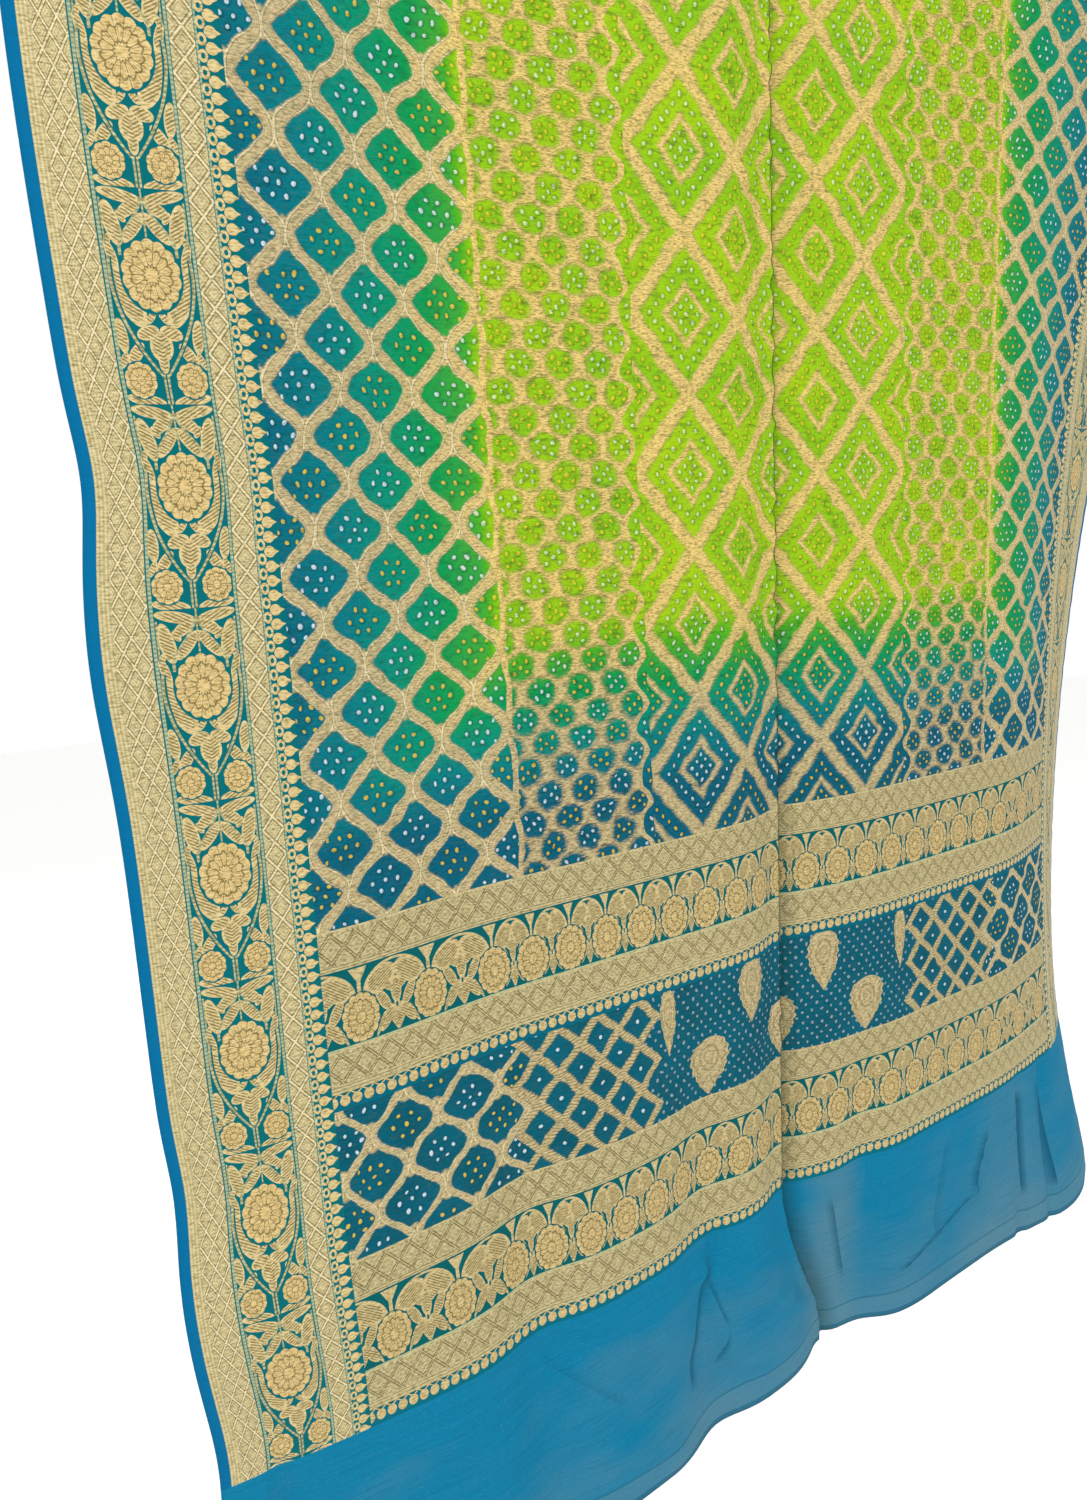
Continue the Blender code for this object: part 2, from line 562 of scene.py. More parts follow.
# %% Colours as a dyer would name them
def rgb(red, green, blue):
    """Screen values from 0 to 255, made linear as the sockets want them."""
    share = np.array([red, green, blue]) / 255.0
    linear = np.where(share <= 0.04045, share / 12.92, ((share + 0.055) / 1.055) ** 2.4)
    return (*(float(value) for value in linear), 1.0)


Dye = namedtuple("Dye", "name depth colour")
DYES = (
    Dye("lime", 0.00, rgb(162, 196, 20)),
    Dye("leaf", 0.20, rgb(74, 164, 26)),
    Dye("green", 0.40, rgb(6, 140, 72)),
    Dye("sea green", 0.60, rgb(0, 132, 108)),
    Dye("teal", 0.80, rgb(0, 112, 120)),
    Dye("blue", 1.00, rgb(0, 88, 110)),
)
WARM_GOLD = rgb(226, 200, 110)
COOL_GOLD = rgb(184, 172, 128)
BLOOM_GOLD = rgb(204, 170, 104)
PINK_THREAD = rgb(218, 160, 118)
OLIVE_THREAD = rgb(96, 84, 42)
PALE_THREAD = rgb(168, 174, 132)
PALE_GOLD = rgb(226, 212, 172)
# Painted shade: beside the crease from storing, and in the hollows of the puckers
CREASE_SHADE = rgb(22, 46, 22)
PUCKER_SHADE = rgb(20, 60, 40)
WHITE_DOT = rgb(196, 208, 216)
LIME_WHITE_DOT = rgb(206, 222, 150)
LIME_YELLOW_DOT = rgb(216, 202, 48)
YELLOW_DOT = rgb(210, 178, 66)
# The ground in the shade of a tied dot's peak
LIME_SHADE = rgb(84, 140, 10)
BLUE_SHADE = rgb(0, 64, 84)

# Millimetres from the selvedge and below the top edge
BLUE_UNTIL = 118.0
GREEN_FROM = 236.0
DIP_STARTS = 580.0
DIP_ENDS = 705.0


def over(under, top, share):
    """top laid on under, by a share from 0 to 1: one Mix node of colours."""
    node = added_node(share.tree, "ShaderNodeMix", (share,), data_type="RGBA")
    plug(under, node.inputs[6])
    plug(top, node.inputs[7])
    return Wire(share.tree, node.outputs[2])


def dye_depth(laid):
    """Depth by place: 0.86 to 0.3 across the ropes, near 0 past them, and 0 to 1 down the dip."""
    cloud = noise(laid.flat, 60.0, 45.0, 1.0) - 0.5
    share = (laid.near - BLUE_UNTIL) / (GREEN_FROM - BLUE_UNTIL)
    faded = (laid.wobbly_near - GREEN_FROM - 1.0) / 16.0
    sideways = (0.86 - share * 0.56) * (1.0 - faded.clamped())
    dipped = (laid.down - DIP_STARTS) / (DIP_ENDS - DIP_STARTS)
    return (either(sideways, dipped, 0.06) + cloud * 0.14).clamped()


def dyed(depth):
    """The ground's colour at this depth of dye."""
    ramp = depth.tree.nodes.new("ShaderNodeValToRGB")
    stops = ramp.color_ramp.elements
    for dye in DYES[2:]:
        stops.new(dye.depth)
    for stop, dye in zip(stops, DYES):
        stop.position = dye.depth
        stop.color = dye.colour
    plug(depth, ramp.inputs[0])
    return Wire(depth.tree, ramp.outputs[0])


def gold_over(depth):
    """Gold as it looks over this depth of dye."""
    return over(WARM_GOLD, COOL_GOLD, (depth * 1.6).clamped())


# %% [markdown]
# ## From a drawing to a finish
# Each zone below draws two things: its colours, and the share of gold thread at each place. This
# step adds what all of them share. Gold is smoother and a little metallic. The georgette between
# is matt, with a faint sheen. Fine puckers too small for the mesh go into the bump, and painted
# shade darkens their hollows and the cloth just right of the crease from storing.

# %% The finish that every zone shares
CLOTH_ROUGHNESS = 0.85
GOLD_ROUGHNESS = 0.55
GOLD_METAL = 0.15
FACE_GLOSS = 0.07
Drawn = namedtuple("Drawn", "colour gold raised")


def smooth(t):
    """3t^2 - 2t^3, the same easing as in the folds."""
    return t * t * (3.0 - t * 2.0)


def crease_shade(laid):
    """Painted shade right of the fold from storing: it starts sharply and fades in 5 and 26 mm to its
    right.
    """
    t = ((laid.down - GOLD_END) / (1000.0 * PLAIN_END)).clamped()
    aside = laid.across - smooth(t) * (1000.0 * CREASE_DRIFT) - (CREASE_AT - 1.6)
    line = (1.0 - aside / 5.0).clamped() * 0.75
    wide = (1.0 - aside / 26.0).clamped() * (laid.down.above(BAND_TOPS[0]) * 0.35 + 0.2)
    return either(line, wide) * aside.above(0.0)


def woven_material(name, draw, pucker):
    """A material from a drawing. pucker is the height of its fine crinkles, in metres."""
    material = bpy.data.materials.new(name)
    material.use_nodes = True
    tree = material.node_tree
    surface = tree.nodes["Principled BSDF"]
    laid = laid_flat(tree)
    drawn = draw(laid)
    crinkle = noise(laid.flat, 9.0, 3.2, 3.0)
    grain = noise(laid.flat, 3.4, 1.0, 1.0)
    # Painted shade in the hollows of the fine crinkles
    shaded = over(drawn.colour, PUCKER_SHADE, (0.47 - crinkle).clamped() * (pucker * 700.0))
    shaded = over(shaded, OLIVE_THREAD, (0.5 - grain).clamped() * drawn.gold * 2.2)
    shaded = over(shaded, PALE_GOLD, (grain - 0.54).clamped() * drawn.gold * 1.5)
    # Painted shade just right of the crease from storing
    shaded = over(shaded, CREASE_SHADE, crease_shade(laid))
    plug(shaded, surface.inputs["Base Color"])
    plug(chosen(CLOTH_ROUGHNESS, GOLD_ROUGHNESS, drawn.gold), surface.inputs["Roughness"])
    plug(drawn.gold * GOLD_METAL, surface.inputs["Metallic"])
    surface.inputs["Specular IOR Level"].default_value = FACE_GLOSS
    bump = added_node(tree, "ShaderNodeBump")
    bump.inputs["Distance"].default_value = pucker
    plug(crinkle + drawn.raised + grain * 0.25, bump.inputs["Height"])
    plug(Wire(tree, bump.outputs["Normal"]), surface.inputs["Normal"])
    return material


# %% [markdown]
# ## Lozenge columns and rows
# Solid gold strips edge every border. They are a lattice of pale lines, each between two dark
# ones, with a small lozenge in each lozenge and a grain of tiny squares. Folding both directions
# and adding them gives a number that is 1 on the lattice's lines and 0 in each lozenge's middle.

# %% Lozenges
def lozenges(aside, along, wide, tall, line):
    """Shares of dark and of pale thread: lines where the folds' sum is line, between pale ones."""
    sum_of_folds = aside.folded(wide / 2) * (2 / wide) + along.folded(tall / 2) * (2 / tall)
    step = sum_of_folds.folded(1.0)
    grain = reckon("SINE", aside * 3.3) * reckon("SINE", along * 3.0)
    lines = either(step.near(line, 0.075), step.near(0.48, 0.06) * 0.5)
    dark = either(lines, step.below(0.12) * 0.5, (grain * 0.5).clamped()) * 0.75
    return dark, step.above(line + 0.10) * 0.7


# %% [markdown]
# ## The border's vine
# Between two strips of lozenges runs a vine of flowers in pointed medallions. It is a common old
# layout, charted here in one table: each leaf is an oval with its place from the vine's
# middle line, its size and its turn. Folding about the middle line draws its twin for nothing.

# %% The border: a table of leaves, and the lines of the medallion
STRIP_GOLD = rgb(198, 184, 136)
BORDER_GROUND = rgb(0, 96, 102)
SELVEDGE_BLUE = rgb(0, 98, 142)

# Millimetres from the selvedge: from and to, and where each strip's lattice starts
EDGING = (6.4, 12.8)
WIDE_STRIP, WIDE_LATTICE = (12.6, 28.4), 12.3
SLIM_STRIP, SLIM_LATTICE = (73.8, 85.8), 74.1
VINE_MIDDLE = 51.2
VINE_HALF = 20.6
BEADS_AT = 89.0
DROPS_AT = 93.6
TIPS = (95.5, 99.0)
# Beaded lines and their half widths
BEADED_LINES = ((29.9, 0.8), (72.7, 0.7), (86.6, 0.5))
# The strips' lozenges, wide and tall, and the sum of folds at which their dark lines stand
WIDE_LOZENGE = (7.8, 15.2)
SLIM_LOZENGE = (11.8, 15.0)
BORDER_LINE = 0.79
# Millimetres down the cloth, and how much larger the leaves are than in their table
VINE_REPEAT = 104.2
FLOWER_LEVEL = 286.0
REPEAT_STARTS = 41.5
DROP_PITCH = 7.85
HATCH_PITCH = 1.9
LEAF_SCALE = 1.12

# Flowers and the bare ovals round them
Oval = namedtuple("Oval", "middle halves")
BIG_FLOWER = Oval((0.0, 0.0), (13.7, 17.2))
ROUND_BIG = Oval((0.0, 0.4), (15.0, 18.6))
SMALL_FLOWER = Oval((12.5, 51.0), (7.5, 8.7))
ROUND_SMALL = Oval((12.5, 51.0), (8.3, 9.5))

# The medallion is a parabola: its half width beside the flower, the half width of its point, and
# how far below the flower the point is
MEDALLION_HALF = 19.6
POINT_HALF = 1.2
POINT_AT = 49.0

Leaf = namedtuple("Leaf", "name out down half_wide half_long turn")
BORDER_LEAVES = (
    Leaf("leaf over the flower", 5.6, -22.4, 2.7, 8.2, -38),
    Leaf("leaf outside the medallion", 18.4, 29.5, 2.6, 7.6, 5),
    Leaf("leaf by the next flower", 12.8, 38.4, 2.6, 6.0, -34),
    Leaf("leaf under the small flower", 11.4, 60.8, 8.4, 2.6, -10),
    Leaf("spray leaf", 10.2, -37.4, 9.2, 2.7, -12),
    Leaf("leaf under the spray", 6.6, -31.6, 2.8, 6.4, -50),
    Leaf("side leaf's tip", 18.6, -15.6, 1.4, 3.4, -20),
    Leaf("side leaf", 15.4, -24.0, 3.4, 9.8, 12),
    Leaf("side leaf's bud", 10.6, -27.6, 1.5, 3.0, 30),
    Leaf("low corner leaf", 17.6, -9.0, 2.0, 6.4, 14),
    Leaf("crown leaf", 3.2, 20.6, 1.5, 3.4, -36),
    Leaf("palmette's side", 5.6, 27.9, 5.0, 3.1, 20),
    Leaf("palmette", 0.0, 34.4, 5.0, 6.8, 0),
    Leaf("palmette's tip", 0.0, 42.0, 2.2, 5.0, 0),
    Leaf("leaf at the strip", 18.9, 41.4, 1.5, 4.0, -24),
)
LONG_LEAF = Leaf("long leaf beside the flower", 13.0, 10.2, 5.9, 16.2, 22)


def leaf_ring(point, leaf, scale):
    """0 in the leaf's middle and 1 on its edge."""
    halves = (leaf.half_wide * scale, leaf.half_long * scale)
    return oval(point, (leaf.out, leaf.down), halves, leaf.turn)


def outside(point, shape):
    """0 in an oval and 1 round it."""
    return 1.0 - oval(point, *shape).below(1.0)


def flower(point, middle, halves, petals):
    """Gold share and dark lines of a flower: a petalled edge, two rings and lines between petals."""
    radius, angle = polar(point, middle, halves)
    petal = abs(reckon("SINE", angle * (petals / 2)))
    inside = (radius - petal * 0.08).below(0.95)
    outer_ring = (radius - petal * 0.12).near(0.62, 0.035)
    inner_ring = (radius + petal * 0.10).near(0.34, 0.035)
    spokes = (petal * radius).below(0.085) * radius.above(0.30)
    veins = abs(reckon("SINE", angle * (petals * 1.5))).below(0.3) * radius.between(0.4, 0.86) * 0.45
    return inside, either(outer_ring, inner_ring, spokes, veins)


def medallion_edge(out, down):
    """Millimetres inside the parabola: its half width shrinks with the square of down."""
    narrowing = (MEDALLION_HALF - POINT_HALF) / POINT_AT**2
    return MEDALLION_HALF - down * down * narrowing - out


def medallion(out, down):
    """Its lines: the parabola, the S-shaped flare above the flower, the stem and the pistil."""
    below = medallion_edge(out, down).near(0.0, 0.75) * down.between(-11.0, POINT_AT)
    t = ((down + 37.0) / 25.0).clamped()
    flare = out.near(0.8 + smooth(t) * 12.6, 0.75) * down.between(-37.0, -9.0)
    stem = out.near(0.9, 0.55) * down.between(48.0, 70.0)
    pistil = out.below(0.45) * down.below(-15.0)
    tendril = out.near(MEDALLION_HALF, 0.45) * down.between(-36.0, -14.0)
    return either(below, flare, stem, pistil, tendril)


def hatched(along, pitch):
    """Fine lines of thread, 0 to 1, one for every pitch."""
    return reckon("SINE", along * (2 * math.pi / pitch)) * 0.5 + 0.5


def border_vine(laid):
    """Gold share, dark detail, flowers and stems of the vine, from its middle line and a flower."""
    out = abs(laid.near - VINE_MIDDLE)
    start = FLOWER_LEVEL - REPEAT_STARTS
    down = (laid.down - start).repeated(VINE_REPEAT) - REPEAT_STARTS
    point = spot(out, down)
    big, big_lines = flower(point, *BIG_FLOWER, 14)
    small, small_lines = flower(point, *SMALL_FLOWER, 10)
    leaves = least(*(leaf_ring(point, leaf, LEAF_SCALE) for leaf in BORDER_LEAVES))
    long_ring = leaf_ring(point, LONG_LEAF, 1.0)
    long_leaf = long_ring.below(1.0) * medallion_edge(out, down).above(1.7)
    lines = medallion(out, down)
    beside_lines = 1.0 - medallion_edge(out, down).near(0.0, 1.5) * down.between(-8.0, 46.0)
    free = outside(point, ROUND_BIG)
    around = either(leaves.below(1.0) * beside_lines, long_leaf, lines) * free
    around = around * outside(point, ROUND_SMALL)
    gold = either(around, big, small)
    # Leaves are hatched inside a plain rim
    inner = either(leaves.below(0.76), long_ring.below(0.8)) * around
    hatch = hatched(out * 0.6 + down, HATCH_PITCH).below(0.42) * inner * 0.75
    dark = either(big_lines * big * 0.8, small_lines * small * 0.8, hatch)
    return gold, dark, either(big, small), lines * free * (1.0 - small)


def drop_row(near, down):
    """Beads, drops and pointed tips in a row along the border's inner edge."""
    half_pitch = DROP_PITCH / 2
    beside = spot(near, down.folded(half_pitch))
    bead = oval(beside, (BEADS_AT, 0.0), (1.7, 2.3)).near(1.0, 0.38)
    drop = oval(beside, (DROPS_AT, half_pitch), (3.1, 3.1)).below(1.0)
    slope = (TIPS[1] - near) * 0.55
    tip = near.between(*TIPS) * (down + half_pitch).folded(half_pitch).below(slope)
    return either(drop, bead, tip)


def draw_border(laid):
    """The vine between two strips of lozenges, an edging outside and a row of drops inside."""
    near, down = laid.near, laid.down
    vine, vine_lines, bloom, stems = border_vine(laid)
    in_vine = near.between(VINE_MIDDLE - VINE_HALF, VINE_MIDDLE + VINE_HALF)
    wide_strip, slim_strip = near.between(*WIDE_STRIP), near.between(*SLIM_STRIP)
    edging = near.between(*EDGING)
    wide_dark, wide_pale = lozenges(near - WIDE_LATTICE, down, *WIDE_LOZENGE, BORDER_LINE)
    slim_dark, slim_pale = lozenges(near - SLIM_LATTICE, down, *SLIM_LOZENGE, BORDER_LINE)
    dark = either(
        hatched(near, HATCH_PITCH) * edging * 0.4,
        wide_dark * wide_strip,
        slim_dark * slim_strip,
        either(vine_lines, stems * hatched(down, 2.6) * 0.6) * in_vine,
    )
    lattice = either(wide_pale * wide_strip, slim_pale * slim_strip)
    drops = drop_row(near, down)
    beads = hatched(down, 2.3) * 0.6 + 0.4
    pale = either(*(near.near(*line) for line in BEADED_LINES)) * beads
    gold = either(wide_strip, slim_strip, edging, vine * in_vine, drops)
    ground = over(SELVEDGE_BLUE, BORDER_GROUND, near.above(13.0))
    colour = over(ground, PALE_THREAD, pale)
    tone = either(bloom * in_vine * 0.6, vine * in_vine * 0.3, drops * 0.4)
    colour = over(colour, over(STRIP_GOLD, BLOOM_GOLD, tone), gold)
    colour = over(colour, PALE_THREAD, stems * in_vine * 0.7)
    colour = over(over(colour, PALE_GOLD, lattice), OLIVE_THREAD, dark)
    return Drawn(colour, either(gold, pale * 0.6), (gold - dark * 0.5) * 0.5)


# %% [markdown]
# ## The rope lattice
# Pairs of ropes swing apart and together and leave pointed cells, each with seven tied dots. A
# rope's middle line is a cosine wave between two crossings. The lattice is folded both ways
# first, so one stretch of rope between two quarter cells is enough to draw it all.

# %% Ropes, cells and dots
Lattice = namedtuple("Lattice", "first_across first_down half_across half_down")
FIELD_ROPES = Lattice(121.0, 286.4, 25.9, 25.95)
STRIP_ROPES = Lattice(121.0, 911.0, 24.3, 25.6)
# Millimetres, sideways: half a rope at a crossing, what it gains on its way to the next crossing,
# and where the gold between two ropes ends above and below a crossing
Rope = namedtuple("Rope", "half_at_crossing gain cell_point")
FIELD_ROPE = Rope(2.9, 3.7, 16.4)
STRIP_ROPE = Rope(2.1, 2.0, 15.4)
DOT_RADIUS = 1.5
PEAK_FOOT = 2.0
# The border cuts the cells one column before the first, and the round cells those five columns
# after it. Their dots are moved into what is left of them.
CUT_COLUMNS = (-1, 5)
CUT_SHIFT = 9.0
SEVEN_DOTS = ((0.0, 0.0), (8.6, 0.0), (3.9, 6.3))

# One more rope ends each zone: millimetres from the selvedge, how far it sways, and half its width
EndRope = namedtuple("EndRope", "at sway half_wide")
LAST_ROPE = EndRope(250.2, -1.3, 2.2)

Cell = namedtuple("Cell", "aside along")

# What ropes, cells and dots draw: shares of gold, of dark thread and of dots, the peaks the dots
# stand on, and 1 where the dots are white
Dotted = namedtuple("Dotted", "gold dark dots peaks white")


def quarter(near, down, lattice):
    """Place in the lattice folded both ways: every cell comes down to a quarter of one."""
    return (
        (near - lattice.first_across).folded(lattice.half_across),
        (down - lattice.first_down).folded(lattice.half_down),
    )


def frayed(laid, height=1.2):
    """Unevenness of a gold edge, -0.5 to 0.5, in level threads this many millimetres high."""
    return noise(laid.flat, 5.0, height, 1.0) - 0.5


def cell_number(near, down, lattice, other):
    """Rows and columns counted together, so that even and odd numbers take turns as diagonals do."""
    column = (near - lattice.first_across) / (2 * lattice.half_across)
    row = (down - lattice.first_down) / (2 * lattice.half_down)
    own = reckon("ROUND", column) + reckon("ROUND", row)
    between = reckon("FLOOR", column) + reckon("FLOOR", row) + 1.0
    return chosen(own, between, other).folded(1.0)


def own_cell(aside, along, lattice, other):
    """Place in the cell: folded already, and turned end for end where the other cell is meant."""
    return Cell(
        chosen(aside, lattice.half_across - aside, other),
        chosen(along, lattice.half_down - along, other),
    )


def dots_of(cell, places, radius=DOT_RADIUS):
    """1 on the tied dots at these places of a quarter cell, and the peaks they stand on."""
    point = spot(cell.aside, cell.along)
    nearest = least(*(distance(point, place) for place in places))
    return tied(nearest, radius)


def tied(nearest, radius):
    """Dots and peaks from the distance to the nearest dot: a peak's foot is twice as wide."""
    dots = ((1.0 - nearest / radius) * 3.5).clamped()
    return dots, (1.0 - nearest / (radius * PEAK_FOOT)).clamped()


def roped(laid, lattice, rope):
    """The ropes, the cells between them and their dots, and the ropes' pale edges."""
    near, down = laid.wobbly_near, laid.wobbly_down
    # The column at the border is drawn in, so that its rope bows clear of the drops
    near = near - ((lattice.first_across - near) / 20.0).clamped() * 3.2
    aside, along = quarter(near, down, lattice)
    angle = along * (math.pi / lattice.half_down)
    swing = lattice.half_across / 2 - rope.half_at_crossing
    off = aside - lattice.half_across / 2 - reckon("COSINE", angle) * swing
    other = off.above(0.0)
    half = reckon("POWER", reckon("SINE", angle), 1.3) * rope.gain + rope.half_at_crossing
    # From 0 at the rope's edge to 1 on its middle line
    share = 1.0 - abs(off) / half
    cell = own_cell(aside, along, lattice, other)
    filled = cell.along - cell.aside * 0.35 - rope.cell_point
    past = either((half - abs(off)) * 0.75, filled) + frayed(laid, 1.1) * 1.5
    gold = (past * 0.62 + 0.42).clamped()
    seam = cell.aside.below(0.5) * filled.above(3.0)
    edge = share.near(0.17, 0.13)
    strands = either(share.near(0.38, 0.06) * 0.9, share.near(1.0, 0.06) * 0.5, seam) * gold
    before, after = (lattice.first_across + lattice.half_across * i for i in CUT_COLUMNS)
    cut = either((near - cell.aside).near(before, 2.0), (near + cell.aside).near(after, 2.0))
    moved = Cell(abs(cell.aside - cut * CUT_SHIFT), cell.along)
    dots, peaks = dots_of(moved, SEVEN_DOTS)
    white = cell_number(near, down, lattice, other)
    return Dotted(gold, strands, dots * (1.0 - gold), peaks, white), edge * gold


def dotted_cloth(laid, dotted, ground=None):
    """Ground, shades, dots, gold and dark thread laid on each other."""
    depth = dye_depth(laid)
    ground = dyed(depth) if ground is None else ground
    blue_zone = (depth * 2.4).clamped()
    lime_dot = over(LIME_YELLOW_DOT, LIME_WHITE_DOT, dotted.white)
    dot_colour = over(lime_dot, over(YELLOW_DOT, WHITE_DOT, dotted.white), blue_zone)
    shade = over(LIME_SHADE, BLUE_SHADE, blue_zone)
    colour = over(over(ground, shade, dotted.peaks * 0.5), dot_colour, dotted.dots * 0.92)
    threads = noise(laid.flat, 7.0, 0.9, 1.0)
    thread = over(gold_over(depth), PINK_THREAD, ((threads - 0.46) * 3.0).clamped() * 0.5)
    colour = over(colour, thread, dotted.gold)
    lines = ((0.44 - threads) * 5.0).clamped() * (dotted.gold * 0.3 + 0.2)
    colour = over(colour, OLIVE_THREAD, either(dotted.dark * 0.5, lines))
    return Drawn(colour, dotted.gold, dotted.gold * 0.5 + dotted.peaks * 0.8)


def past_end_rope(laid, lattice, end_rope):
    """Millimetres past the rope that ends a zone, which sways with the cells of its lattice."""
    angle = (laid.wobbly_down - lattice.first_down) * (math.pi / lattice.half_down)
    return laid.wobbly_near - (reckon("COSINE", angle) * end_rope.sway + end_rope.at)


def draw_ropes(laid):
    """The rope lattice of the field, with one more rope down its inner end."""
    ropes, edge = roped(laid, FIELD_ROPES, FIELD_ROPE)
    past_end = past_end_rope(laid, FIELD_ROPES, LAST_ROPE)
    gold = either(ropes.gold, abs(past_end).below(LAST_ROPE.half_wide))
    edge = edge * past_end.below(-3.0)
    drawn = dotted_cloth(laid, ropes._replace(gold=gold, dots=ropes.dots * (1.0 - gold)))
    colour = over(drawn.colour, PALE_GOLD, edge * 0.7)
    return drawn._replace(colour=colour, raised=drawn.raised + edge * 0.3)


# %% [markdown]
# ## Round cells
# Past the ropes the dye jumps to lime and the cells grow small and round, five dots in each. Two
# ovals stand at opposite corners of the folded quarter, and all that is outside both is gold.

# %% The round cells
ROUND_CELLS = Lattice(261.5, 266.0, 14.65, 17.3)
ROUND_HALVES = (10.5, 9.1)
FIVE_DOTS = ((0.0, 0.0), (4.6, 3.5))
WAVY_ROPE = EndRope(354.5, 5.0, 2.4)


def draw_rounds(laid):
    """Small round cells up to the wavy rope in front of the diamonds."""
    lattice = ROUND_CELLS
    near, down = laid.wobbly_near, laid.wobbly_down
    aside, along = quarter(near, down, lattice)
    point = spot(aside, along)
    own = oval(point, (0.0, 0.0), ROUND_HALVES)
    between = oval(point, (lattice.half_across, lattice.half_down), ROUND_HALVES)
    other = between.below(own)
    nearest = least(own, between)
    before = past_end_rope(laid, FIELD_ROPES, LAST_ROPE).below(LAST_ROPE.half_wide)
    past_end = past_end_rope(laid, lattice, WAVY_ROPE)
    edge = either(abs(past_end).below(WAVY_ROPE.half_wide), before)
    gold = ((nearest - 1.0) * 3.4 + frayed(laid) * 1.8 + 0.5).clamped() * past_end.below(0.0)
    gold = either(gold, edge)
    cell = own_cell(aside, along, lattice, other)
    dots, peaks = dots_of(cell, FIVE_DOTS, 1.45)
    white = cell_number(near, down, lattice, other)
    dark = reckon("SINE", along * 2.9 + aside * 2.1).above(0.7) * 0.4
    return dotted_cloth(laid, Dotted(gold, dark * gold, dots * (1.0 - gold), peaks, white))


# %% [markdown]
# ## Diamonds
# The middle of the cloth has large diamonds, one inside the other, with dots in rows between. Two
# folds and a sum again give a number that is 0 in the middle of a diamond and 1 on the gold band.
# The outermost diamonds are cut off by the round cells, which leaves chevrons along that edge.

# %% The diamonds
DIAMONDS = Lattice(500.0, 230.4, 46.3, 52.15)
BAND_HALF = 5.6
INNER_AT = 0.375
INNER_HALF = 2.5
DOT_ROWS = ((0.64, 0.2133), (0.19, 0.19))


def square_distance(lattice):
    """Millimetres from a corner of the folded quarter straight to its diagonal."""
    return 1.0 / math.hypot(1 / lattice.half_across, 1 / lattice.half_down)


def draw_diamonds(laid):
    """step is 0 in a diamond's middle and 1 on the gold band, with rows of dots between."""
    lattice = DIAMONDS
    near, down = laid.wobbly_near, laid.wobbly_down
    aside, along = quarter(near, down, lattice)
    across_share = aside / lattice.half_across
    down_share = along / lattice.half_down
    square = square_distance(lattice)
    off = (across_share - down_share) * square
    other = off.above(0.0)
    # One cell stands over the first crossing, the other at the far corner of the fold
    a = chosen(across_share, 1.0 - across_share, other)
    b = chosen(1.0 - down_share, down_share, other)
    step = a + b
    aslant = b - a
    fray = frayed(laid)
    band = ((BAND_HALF - abs(off) + fray * 3.0) * 0.42 + 0.3).clamped()
    inner = ((INNER_HALF - abs(step - INNER_AT) * square + fray * 2.4) * 0.45 + 0.35).clamped()
    gold = either(band, inner)
    nearest = None
    for row, pitch in DOT_ROWS:
        miss_row = (step - row) * square
        miss_dot = (aslant + row).folded(pitch / 2)
        gap = reckon("SQRT", miss_row * miss_row + miss_dot * miss_dot * square**2)
        nearest = gap if nearest is None else least(nearest, gap)
    nearest = least(nearest, step * square)
    dots, peaks = tied(nearest, 1.5)
    strands = reckon("SINE", (aslant * square + off * 0.6) * (2 * math.pi / 4.2)).above(0.66)
    dark = strands * band * 0.2
    return dotted_cloth(laid, Dotted(gold, dark, dots * (1.0 - gold), peaks, 1.0 - other))


# %% [markdown]
# ## The two bands
# Each band is two rows of lozenges with a row of round flowers under arches between them, and a
# hem of little scallops. The flowers stand close together where the cloth has shrunk under its
# close dots and further apart near the border, so the repeat is counted in two paces.

# %% The bands
BAND_REPEAT = 211.2
BAND_2_STRETCH = 111.1 / 118.4
PACE_CHANGES = 222.0
WIDE_PACE = 50.0
CLOSE_PACE = 30.9
FIRST_FLOWER = 122.0
ARCH_HALF = 25.0
SCALLOP_PITCH = 7.9
BAND_LEAF_SCALE = 1.2
BAND_GOLD = rgb(184, 171, 126)
BAND_GROUND = rgb(0, 86, 90)
BAND_FLOWER = Oval((0.0, 57.8), (12.3, 15.4))
ROUND_BAND_FLOWER = Oval((0.0, 57.8), (13.2, 16.3))
BAND_LOZENGE = (16.4, 17.6)
BAND_LINE = 0.88
# Millimetres below the band's top, from and to
VINE_ROW = (25.4, 73.0)
SOLID_ROWS = ((-1.0, 25.4), (74.6, 101.6))
LOZENGE_ROWS = ((1.4, 21.6), (76.0, 96.2))
# Dark lines along the band, and how dark
RULED_LINES = ((22.4, 0.7), (24.2, 0.6), (97.4, 0.6), (99.6, 0.6))

# Places are millimetres from the flower's middle line and below the band's top, in a repeat that
# is 50 mm wide; the stem between two flowers stands at 25
BAND_LEAVES = (
    Leaf("arch leaf", 14.6, 37.2, 10.0, 6.4, -28),
    Leaf("bud", 25.0, 47.0, 3.2, 7.0, 0),
    Leaf("leaf over the bud", 18.8, 42.4, 5.6, 2.3, 44),
    Leaf("side leaf", 15.8, 51.5, 2.9, 7.2, -30),
    Leaf("foot leaf", 17.6, 63.4, 2.7, 7.4, 34),
    Leaf("tendril by the flower", 12.9, 66.0, 1.0, 6.6, 26),
    Leaf("inner foot leaf", 21.9, 64.6, 1.7, 5.8, -22),
    Leaf("stem's foot", 25.0, 65.6, 2.4, 6.0, 0),
)


